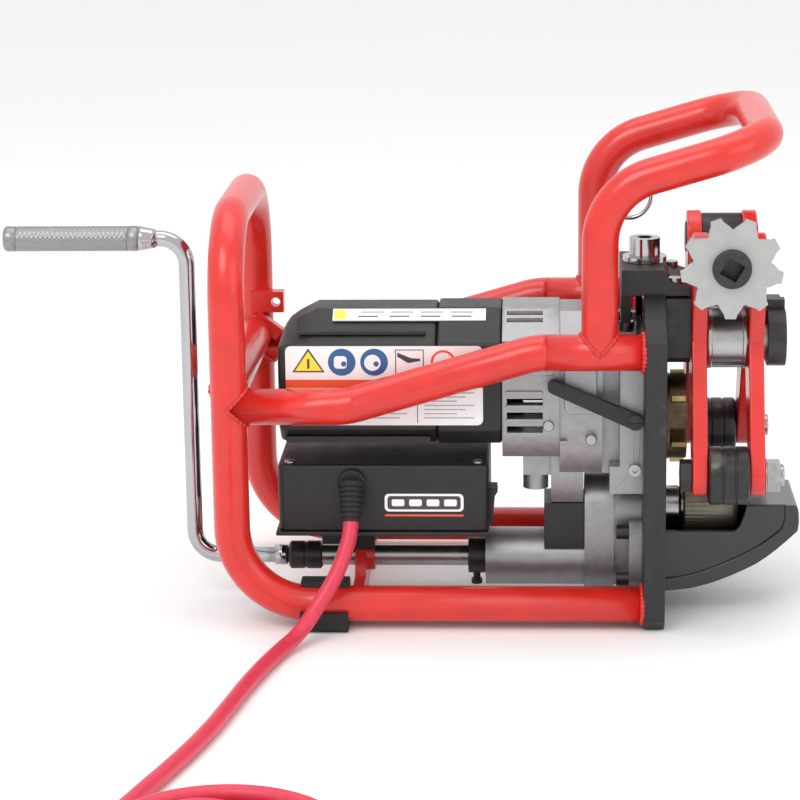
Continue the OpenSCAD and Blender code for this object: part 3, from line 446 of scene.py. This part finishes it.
v, f = loft_x([(-264, clipped(-2, SHOULDER_Z)), (-259, clipped(-1, 208)), (-250.5, clipped(-0.8, 214)),
               (-238.5, clipped(-0.8, MOTOR_TOP_Z)), (-152.2, clipped(-0.8, MOTOR_TOP_Z))])
piece("motor_back", v, f, PLASTIC, "motor_unit", width=2.6, segments=3, replaces=["motor_housing"])
v, f = loft_x([(-152, motor_outline(0)), (-106.6, motor_outline(0))])
piece("motor_middle", v, f, PLASTIC, "motor_unit", width=2.4, segments=3, replaces=["motor_front"])
v, f = join_meshes([prism(rounded_box((-259.5, 129), (-157, 133.5), 1.5, 3), LINE_Y - 43, LINE_Y - 38, "y"),
                    prism(rounded_box((-250, 206.2), (-160, 208.4), 1, 3), LINE_Y - 39.8, LINE_Y - 37, "y")])
piece("motor_ribs", v, f, PLASTIC, "motor_unit", width=0.8)


# labels: plain panels, discs, a triangle and bars
def stuck(name, outline, y, mat, t=0.35, body="motor_unit"):
    """A thin flat shape on a face that looks towards the near side."""
    v, f = prism(outline, y - t, y, "y")
    return piece(name, v, f, mat, body)


LABEL_Y = LINE_Y - MOTOR_HALF - 0.02
LABEL_X = (-258.2, -119.8)
stuck("label_panel", rounded_box((LABEL_X[0], 143), (LABEL_X[1], 200), 4), LABEL_Y, LABEL, t=0.4)
INK_Y = LABEL_Y - 0.4
BACKING_Y = LINE_Y - 47.1
v, f = prism(rounded_box((-255, 144), (-154, 199), 2, 2), LABEL_Y, BACKING_Y, "y")
piece("label_back", v, f, LABEL, "motor_unit")
stuck("label_triangle_edge", [(-253.4, 181.3), (-230.6, 181.3), (-242, 198.6)], INK_Y, INK, t=0.15)
stuck("label_triangle", [(-251.5, 182.4), (-232.5, 182.4), (-242, 196.4)], INK_Y - 0.15, YELLOW, t=0.15)
stuck("label_mark", rounded_box((-242.8, 184), (-241.2, 191), 0.6, 3), INK_Y - 0.3, INK, t=0.12)
for i, x in enumerate((-218.5, -195.8)):
    stuck(f"label_disc_{i}", arc((x, 188.6), 9.7, 0, 352, 44), INK_Y, BLUE, t=0.15)
    stuck(f"label_disc_inner_{i}", arc((x - 1.2, 188.2), 5.8, 0, 345, 23) if i else
          rounded_box((x - 5.5, 184), (x + 3.5, 193), 2.4, 4), INK_Y - 0.15, LABEL, t=0.15)
    stuck(f"label_disc_dot_{i}", arc((x + 1.4, 187.4), 1.9, 0, 340, 17), INK_Y - 0.3, BLUE, t=0.1)
v, f = join_meshes([prism(o, INK_Y - 0.15, INK_Y, "y") for o in (
    [(-181, 197.6), (-161, 197.6), (-161, 197), (-181, 197)],
    [(-181, 197.6), (-180.4, 197.6), (-180.4, 180), (-181, 180)],
    [(-161.6, 197.6), (-161, 197.6), (-161, 180), (-161.6, 180)],
    [(-179.5, 195.5), (-170, 191.5), (-163.5, 191), (-163.5, 189.5), (-172, 188), (-179.5, 192.5)])])
piece("label_square", v, f, INK, "motor_unit")
RING_AT = (-147.5, 188.6)
v, f = lathe([(INK_Y - 0.2, 8.6), (INK_Y, 8.6)], RING_AT, "y", 48)
piece("label_ring", v, f, ORANGE, "motor_unit")
v, f = lathe([(INK_Y - 0.3, 6.9), (INK_Y - 0.2, 6.9)], RING_AT, "y", 40)
piece("label_ring_inner", v, f, LABEL, "motor_unit")
stuck("label_strip", [(LABEL_X[0], 170), (LABEL_X[1], 170), (LABEL_X[1], 176), (LABEL_X[0], 176)],
      INK_Y, ORANGE, t=0.12)


def flat_bar(low, high):
    """A bar of the label's print, between two corners in X and Z."""
    (a, b), (c, d) = low, high
    return prism([(a, b), (c, b), (c, d), (a, d)], INK_Y - 0.12, INK_Y, "y")


bars = []
for i in range(7):
    z = 166.4 - 3.0 * i
    for start, end in ((-161, -126 - 6 * (i % 3)), (-206, -173 - 5 * ((i + 1) % 3))):
        bars.append(flat_bar((start, z - 0.45), (end, z + 0.45)))
v, f = join_meshes(bars)
piece("label_bars", v, f, GREY, "motor_unit")
v, f = join_meshes([flat_bar((x, 144.5), (x + 0.5, 168)) for x in (-211, -166)])
piece("label_rules", v, f, INK, "motor_unit")

# the slanted near shoulder carries a second plain label
edge = unit((0, 31, 20))
out = unit((0, -20, 31))
SHOULDER_EDGE = (LINE_Y - 17.3, 220.6)


def on_shoulder(x, s, h):
    """A point s down the slanted shoulder from its upper edge, and h off it."""
    return tuple(Vector((x, *SHOULDER_EDGE)) - edge * s + out * h)


def shoulder_panel(name, x0, x1, s0, s1, h0, h1, mat):
    """A thin plate on the slanted shoulder."""
    corners = [(x0, s0), (x1, s0), (x1, s1), (x0, s1)]
    verts = [on_shoulder(x, s, h) for h in (h0, h1) for x, s in corners]
    faces = [[3, 2, 1, 0], [4, 5, 6, 7]] + [[i, (i + 1) % 4, 4 + (i + 1) % 4, 4 + i] for i in range(4)]
    piece(name, verts, faces, mat, "motor_unit")


PRINT_LOW, PRINT_HIGH = 0.9, 1.02
shoulder_panel("top_label", -226, -118, 1.5, 13, 0.0, PRINT_LOW, LABEL)
shoulder_panel("top_label_yellow", -225, -217, 2.5, 12, PRINT_LOW, PRINT_HIGH, YELLOW)
for i in range(4):
    shoulder_panel(f"top_label_bar_{i}", -206 + 21 * i, -190 + 21 * i, 4, 6, PRINT_LOW, PRINT_HIGH, GREY)
    shoulder_panel(f"top_label_line_{i}", -208 + 22 * i, -194 + 22 * i, 8.5, 9.7, PRINT_LOW, PRINT_HIGH, INK)

# ---------------------------------------------------------------- gear case details
fins = []
for i in range(3):
    z = 139 + 10 * i
    fins.append(prism(rounded_box((-104, z + 5.6), (-78, z + 8.2), 1.1, 3), LINE_Y - 47.6, LINE_Y - 45, "y"))
v, f = join_meshes(fins)
piece("vent_ribs", v, f, CAST, "motor_unit", width=0.5)
v, f = join_meshes([prism(rounded_box((-88, 178), (-70, 186), 2, 4), LINE_Y - 47.2, LINE_Y - 45, "y"),
                    prism(rounded_box((-63, 150), (-40, 188), 5, 5), LINE_Y - 46.2, LINE_Y - 43, "y")])
piece("case_pads", v, f, CAST, "motor_unit", width=0.9)
for i, (x, z) in enumerate(((-74, 192), (-74, 142), (-44, 192), (-44, 132))):
    head = [(LINE_Y - 48, 3.4), (LINE_Y - 47.2, 4.0), (LINE_Y - 43, 4.0)]
    v, f = join_meshes([lathe(head, (x, z), "y", 32),
                        hexagon((x, z), LINE_Y - 48.25, LINE_Y - 47.9, "y", 4.2)])
    piece(f"case_screw_{i}", v, f, STEEL, "motor_unit", width=0.3)

# ---------------------------------------------------------------- guard
UNDER = [(7.6, 17), (17, 17.7), (27, 19), (34.5, 20.8), (42, 23), (49.5, 25.8), (57, 29), (65.5, 33),
         (74, 37.5), (81, 42.4), (88, 48), (95.5, 54.8), (103, 62)]
GUARD_HALF = 35
GUARD_TOP_Z = 81
NEAR_Y, FAR_Y = LINE_Y - GUARD_HALF, LINE_Y + GUARD_HALF
front = [(103, 62), (103.6, 68), (103.4, 75), (102.6, 79.4), (101, GUARD_TOP_Z)]
lip = [(x - 3.2 * min(1, i / 8), z + 9.5 + 1.5 * math.sin(i / 12 * math.pi))
       for i, (x, z) in enumerate(UNDER[:-1])]
skin = (UNDER + front[1:] + [(93, GUARD_TOP_Z), (93.5, 72), (91.5, 64)]
        + [p for p in reversed(lip) if p[0] < 91])
v, f = prism(skin, NEAR_Y, NEAR_Y + 4, "y")
piece("guard_rim_near", v, f, GLOSS, "frame", width=1.6, segments=3, replaces=["front_guard"])
v, f = prism(skin, FAR_Y - 4, FAR_Y, "y")
piece("guard_rim_far", v, f, GLOSS, "frame", width=1.6, segments=3)
wall = [(7.6, 18.5)] + [(x - 0.6, z + 1.4) for x, z in UNDER[1:]] + [(102, 66), (101.5, 79), (100.5, 80.4),
        (66.5, 80.4), (64.8, 73), (62, 65.2), (58, 61.4), (7.6, 61.4)]
for word, y in (("near", NEAR_Y + 1.7), ("far", FAR_Y - 5.4)):
    v, f = prism(wall, y, y + 3.7, "y")
    piece(f"guard_wall_{word}", v, f, GLOSS, "frame", width=1.0, segments=3)
under_skin = UNDER + front[1:] + [(68.2, GUARD_TOP_Z), (68.2, 77), (99, 77), (99.4, 64)] + [
    (x - 1.6, z + 3.8) for x, z in reversed(UNDER[:-1])]
v, f = prism(under_skin, NEAR_Y + 2, FAR_Y - 2, "y")
piece("guard_skin", v, f, GLOSS, "frame", width=1.2)
v, f = lathe([(7.6, 13.5), (9, 14.5), (19.5, 14.5), (21.5, 12.5)], (LINE_Y, DRIVE_Z), "x", 56)
piece("drive_shoulder", v, f, NUT, "drive", width=0.4)

# ---------------------------------------------------------------- drive roller
KNURLS = 44
rings = []
for x, r in ((23, 17.6), (24, 18.6), (57.5, 18.6), (59.8, 17.6), (61.5, 15.2)):
    ring_pts = []
    for k in range(KNURLS * 2):
        a = TAU * k / (KNURLS * 2)
        rr = r + (0.38 if k % 2 and 23.5 < x < 58 else 0.0)
        ring_pts.append((LINE_Y + rr * math.cos(a), DRIVE_Z + rr * math.sin(a)))
    rings.append((x, ring_pts))
v, f = loft_x(rings)
piece("drive_wheel", v, f, DRIVE, "drive", replaces=["drive_roller"])

# ---------------------------------------------------------------- arms
ARM_X = ((25.5, 36), (65, 75.5))
PIVOT_R, TRUNNION_R, GUIDE_R = 20, 19, 14
WHEEL_R = 20.3
for side, label in ((-1, "near"), (1, "far")):
    body = f"{label}_arm"
    pivot, trunnion, guide = ((LINE_Y + side * 25, 201), (LINE_Y + side * 45, 260), (LINE_Y + side * 71, 113))
    for n, (x0, x1) in enumerate(ARM_X):
        up_part = link_outline(pivot, PIVOT_R, trunnion, TRUNNION_R)
        down_part = link_outline(pivot, PIVOT_R, guide, GUIDE_R)
        v, f = prism(up_part, x0 + 0.02, x1, "x")
        extra = {"replaces": [f"{label}_arm"]} if n == 0 else {}
        piece(f"{label}_arm_upper_{n}", v, f, RED, body, width=1.4, segments=3, **extra)
        v, f = prism(down_part, x0, x1 - 0.02, "x")
        piece(f"{label}_arm_lower_{n}", v, f, RED, body, width=1.4, segments=3)
    v, f = lathe([(36.05, 20.4), (36.9, 21.4), (38, 21.8), (39.5, 21.8), (40, 21.2), (61, 21.2), (61.5, 21.8),
                  (63.4, 21.8), (64.95, 20.6)], pivot, "x", 72)
    piece(f"{label}_sleeve", v, f, STEEL, body, width=0.3)
    for n, (x0, x1) in enumerate(((24.6, 25.5), (75.5, 76.6))):
        cap = [(x0, 10.2), (x0 + 0.3, 11), (x1, 11)] if n == 0 else [(x0, 11), (x1 - 0.3, 11), (x1, 10.2)]
        v, f = lathe(cap, trunnion, "x", 40)
        piece(f"{label}_trunnion_cap_{n}", v, f, DARK, body, width=0.2)
    # bolt of the guide roller: black head behind, plated nut in front
    v, f = join_meshes([hexagon(guide, 17, 25.4, "x", 20.6), lathe([(25.2, 8), (88, 8)], guide, "x", 40)])
    piece(f"{label}_bolt", v, f, BLACK, body, width=0.9, replaces=[f"{label}_roller_bolt"])
    v, f = join_meshes([lathe([(75.5, 12.8), (76.6, 12.8)], guide, "x", 48),
                        hexagon(guide, 76.7, 86, "x", 20.6),
                        lathe([(85.9, 8.05), (88.2, 8.05), (89, 7.0)], guide, "x", 32)])
    piece(f"{label}_nut", v, f, NUT, body, width=1.0, segments=3)
    # a wheel with two shallow grooves
    tread = [(36.4, -2), (37.4, -0.4), (38.4, 0), (45, 0), (45.5, -0.7), (46.5, -0.7), (47, 0), (54, 0),
             (54.5, -0.7), (55.5, -0.7), (56, 0), (62.6, 0), (63.6, -0.4), (64.6, -2)]
    v, f = lathe([(x, WHEEL_R + d) for x, d in tread], guide, "x", 72)
    piece(f"{label}_wheel", v, f, ROLLER, f"{label}_roller", width=0.2, replaces=[f"{label}_roller"])

# ---------------------------------------------------------------- crank
GRIP_AXIS = (LINE_Y, 268)
GRIP_SIDES = 96
KNURL_X = (-452.5, -374)
KNURL_STEPS = 150


def grip_ring(x, radius):
    """One ring of the grip; radius is a number, or a function of the angle."""
    points = []
    for k in range(GRIP_SIDES):
        a = TAU * k / GRIP_SIDES
        r = radius(a) if callable(radius) else radius
        points.append((GRIP_AXIS[0] + r * math.cos(a), GRIP_AXIS[1] + r * math.sin(a)))
    return (x, points)


def knurled_ring(x):
    """A ring whose radius follows two crossing sets of ridges."""
    return grip_ring(x, lambda a: 8.55 + 0.5 * (
        0.5 + 0.25 * (math.cos(16 * a + x * 1.9) + math.cos(16 * a - x * 1.9))))


knurl = [knurled_ring(KNURL_X[0] + (KNURL_X[1] - KNURL_X[0]) * i / KNURL_STEPS)
         for i in range(KNURL_STEPS + 1)]
rear_end = [(-462.2, 7.6), (-461.4, 8.6), (-460.2, 9.05), (-454, 9.05), (-453.4, 8.4)]
front_end = [(-373.2, 8.4), (-372.6, 9.05), (-367, 9.05), (-365.8, 8.4)]
grip_rings = [grip_ring(*p) for p in rear_end] + knurl + [grip_ring(*p) for p in front_end]
v, f = loft_x(grip_rings)
piece("grip_knurled", v, f, KNURL, "crank_grip", replaces=["crank_grip"], angle=60)
v, f = lathe([(-263, 8.4), (-261.4, 10.2), (-252, 10.2), (-251.4, 9.6), (-250, 9.6), (-249.4, 10.2),
              (-240, 10.2), (-238.4, 8.4)], (LINE_Y, FEED_Z), "x", 56)
piece("coupling_body", v, f, DARK, "crank", width=0.2, replaces=["coupling"])

# ---------------------------------------------------------------- control box
v, f = prism(rounded_box((-266, -80), (-116, 10), 5.5, 6), 64, 113, "z")
body_box = piece("box_shell", v, f, PLASTIC, "frame", width=2.2, segments=4, replaces=["control_box"])
recess = bpy.data.meshes.new("recess")
rv, rf = prism([(-68, 65), (-52, 65), (-52, 95), (-68, 95)], -121.5, -110, "x")
recess.from_pydata([[c * MM for c in p] for p in rv], [], rf)
cutter = bpy.data.objects.new("recess", recess)
bpy.context.scene.collection.objects.link(cutter)
b = bmesh.new()
b.from_mesh(recess)
bmesh.ops.recalc_face_normals(b, faces=b.faces)
b.to_mesh(recess)
b.free()
cut = body_box.modifiers.new("recess", "BOOLEAN")
cut.object = cutter
cut.operation = "DIFFERENCE"
bpy.context.view_layer.update()
depsgraph = bpy.context.evaluated_depsgraph_get()
baked = bpy.data.meshes.new_from_object(body_box.evaluated_get(depsgraph))
body_box.modifiers.clear()
body_box.data = baked
bpy.data.objects.remove(cutter)
smooth(body_box, 30)
BOX_FACE_Y = -80.05
stuck("box_badge", rounded_box((-190, 79), (-134, 92), 3, 5), BOX_FACE_Y, LABEL, body="frame")
stuck("box_badge_inner", rounded_box((-188, 80.6), (-136, 90.4), 2.2, 4), BOX_FACE_Y - 0.35, INK, t=0.12,
      body="frame")
v, f = join_meshes([prism(rounded_box((-185 + 12.4 * i, 83), (-176 + 12.4 * i, 88), 1.2, 3), BOX_FACE_Y - 0.6,
                          BOX_FACE_Y - 0.47, "y") for i in range(4)])
piece("box_badge_bars", v, f, LABEL, "frame")
stuck("box_line", rounded_box((-190, 75.4), (-134, 76.8), 0.6, 3), BOX_FACE_Y, ORANGE, t=0.2, body="frame")
for i, (x, y) in enumerate(((-258, -72), (-124, -72), (-258, 2), (-124, 2))):
    v, f = lathe([(112.9, 3.6), (114.2, 3.4), (114.9, 2.2)], (x, y), "z", 32)
    piece(f"box_screw_{i}", v, f, STEEL, "frame", width=0.2)

# ---------------------------------------------------------------- power cord
CORD_D = 11
cord_points = [
    (-213, -97, 76), (-214, -103, 66), (-218, -112, 54), (-223, -120, 43), (-229, -126, 33), (-236, -132, 23),
    (-243, -140, 14), (-250, -151, 8), (-256, -164, 6), (-262, -185, 5.6), (-268, -210, 5.6),
    (-274, -240, 5.6), (-280, -275, 5.6), (-287, -315, 5.6), (-296, -355, 5.6), (-307, -395, 5.6),
    (-318, -432, 5.6), (-327, -465, 5.6), (-332, -495, 5.6), (-333, -520, 5.6)]
COIL = (-259.5, -520)
LAYER_1, LAYER_2 = 5.6, 15.2
# angle, radius and height along the winding; the values between are eased
stations = [(180, 73.5, LAYER_1), (480, 73.5, LAYER_1), (540, 62.5, LAYER_1), (840, 62.5, LAYER_1),
            (900, 51.5, LAYER_1), (1130, 51.5, LAYER_1), (1200, 51.5, LAYER_2), (1260, 57, LAYER_2),
            (1360, 57, LAYER_2), (1420, 68, LAYER_2), (1710, 68, LAYER_2)]


def eased(a, b, t):
    """From a to b with a soft start and end, as t goes from 0 to 1."""
    return a + (b - a) * (3 * t * t - 2 * t ** 3)


winding = []
for angle in range(stations[0][0], stations[-1][0] + 1, 10):
    for (a0, r0, z0), (a1, r1, z1) in zip(stations, stations[1:]):
        if a0 <= angle <= a1:
            t = (angle - a0) / (a1 - a0)
            r, z = eased(r0, r1, t), eased(z0, z1, t)
            break
    a = math.radians(angle)
    winding.append((COIL[0] + r * math.cos(a), COIL[1] + r * math.sin(a), z))
tail = [(-246, -588.3, 15.9), (-234, -588.9, 16.4), (-222, -590.0, 15.6), (-210, -591.8, 13.6),
        (-197, -593.5, 12.0), (-186, -593.5, 12.6)]


def dense(points, step=4.0):
    """Points close together on a smooth curve through the given ones."""
    pts = [Vector(p) for p in points]
    out = []
    for i in range(len(pts) - 1):
        p0, p1, p2, p3 = pts[max(i - 1, 0)], pts[i], pts[i + 1], pts[min(i + 2, len(pts) - 1)]
        n = max(2, int((p2 - p1).length / step))
        for k in range(n):
            t = k / n
            out.append(0.5 * ((2 * p1) + (p2 - p0) * t + (2 * p0 - 5 * p1 + 4 * p2 - p3) * t * t
                              + (3 * p1 - p0 - 3 * p2 + p3) * t ** 3))
    return out + [pts[-1]]


route = dense(cord_points + winding[1:] + tail)
lead = wire("power_lead", route, CORD_D / 2 - 0.02, CORD, "frame",
            replaces=["power_cord", "cord_coil"], fill=28)

# plug with two flat pins and a round earth pin
plug_y, plug_z = -593.5, 14
ribs = []
for k in range(9):
    x = -199 + 1.7 * k
    high, low = 6.5 + 0.25 * k, 5.6 + 0.25 * k
    ribs += [(x, high), (x + 1.0, high), (x + 1.05, low), (x + 1.65, low)]
v, f = lathe([(x, min(r, 9.5)) for x, r in ribs], (plug_y, 12.2), "x", 40)
relief = piece("plug_relief", v, f, RUBBER, "frame")
outline = [(-184, 8.0), (-182, 10.2), (-176, 12.2), (-168, 13.2), (-160, 13.6), (-155, 13.6), (-153.2, 12.6)]
v, f = lathe(outline, (plug_y, plug_z), "x", 56)
plug = piece("plug_body", v, f, RUBBER, "frame", width=0.3, replaces=["plug"])
v, f = join_meshes([prism(rounded_box((plug_y + y - 3.1, plug_z), (plug_y + y + 3.1, plug_z + 1.6), 0.5, 2),
                          -153.5, -136.8, "x") for y in (-6, 6)]
                   + [lathe([(-153.5, 2.4), (-136.5, 2.4), (-135.2, 1.4)], (plug_y, plug_z + 7), "x", 28)])
pins = piece("plug_pins", v, f, NUT, "frame", width=0.25)

# gland with ribs along the cord's first direction
down = unit((0, -13, -28))
start = Vector(cord_points[0]) - down * 29
stack = [(start, 8.6), (start + down * 1, 9.3)]
for k in range(7):
    s = 2.0 + 3.6 * k
    big = 9.2 - 0.33 * k
    stack += [(start + down * s, big), (start + down * (s + 2.1), big), (start + down * (s + 2.3), big - 1.2),
              (start + down * (s + 3.4), big - 1.2)]
stack += [(start + down * 28.4, 6.7), (start + down * 29, 6.0)]
v, f = along(stack)
piece("gland_boot", v, f, RUBBER, "frame", replaces=["cord_gland"])
v, f = lathe([(-87, 8.4), (-86, 9.9), (-80, 9.9)], (-213, 101), "y", 40)
piece("gland_collar", v, f, RUBBER, "frame", width=0.4)

# ---------------------------------------------------------------- floor, light, camera
floor_mesh = bpy.data.meshes.new("floor")
floor_mesh.from_pydata([(-6, -6, 0), (6, -6, 0), (6, 6, 0), (-6, 6, 0)], [], [[0, 1, 2, 3]])
floor = bpy.data.objects.new("floor", floor_mesh)
bpy.context.scene.collection.objects.link(floor)
floor.location.z = -0.0006
FLOOR = material("floor_white", (0.93, 0.93, 0.93), 0.75, vary=0.004, grain=2, bump=0.0, rough_vary=0.05,
                 spec=0.1)
floor.data.materials.append(FLOOR)

world = bpy.data.worlds.new("studio")
bpy.context.scene.world = world
world.use_nodes = True
world.node_tree.nodes["Background"].inputs["Color"].default_value = (1, 1, 1, 1)
world.node_tree.nodes["Background"].inputs["Strength"].default_value = 0.95


def area(name, place, target, size, power):
    """A soft rectangular lamp that faces a point."""
    data = bpy.data.lights.new(name, "AREA")
    data.shape = "RECTANGLE"
    data.size, data.size_y = size
    data.energy = power
    lamp = bpy.data.objects.new(name, data)
    lamp.location = place
    lamp.rotation_mode = "QUATERNION"
    lamp.rotation_quaternion = (Vector(target) - Vector(place)).to_track_quat("-Z", "Y")
    bpy.context.scene.collection.objects.link(lamp)


CENTRE = (-0.15, -0.04, 0.17)
area("key", (-0.9, -1.6, 1.9), CENTRE, (1.4, 1.0), 18)
area("fill", (1.5, -1.2, 1.0), CENTRE, (1.2, 1.2), 5)
area("top", (-0.1, 0.2, 2.2), CENTRE, (2.0, 1.2), 11)

FOCAL_PX = 2741.3
PITCH = math.radians(13.92)
TURN_LEFT = 0.05293  # how far left of the straight view the camera looks
CAMERA_AT = (-76.3, -1948.2, 623.5)
back = Vector((TURN_LEFT, -math.cos(PITCH), math.sin(PITCH))).normalized()
right = (Vector((1, 0, 0)) - back * back.x).normalized()
up = back.cross(right)
camera_data = bpy.data.cameras.new("camera")
camera_data.sensor_width = 36
camera_data.lens = 36 * FOCAL_PX / PHOTO
camera = bpy.data.objects.new("camera", camera_data)
bpy.context.scene.collection.objects.link(camera)
turn = Matrix((right, up, back)).transposed().to_4x4()
camera.matrix_world = Matrix.Translation(Vector(CAMERA_AT) * MM) @ turn
bpy.context.scene.camera = camera
bpy.context.scene.view_settings.view_transform = "Standard"
bpy.context.scene.view_settings.look = "None"

bpy.context.view_layer.update()
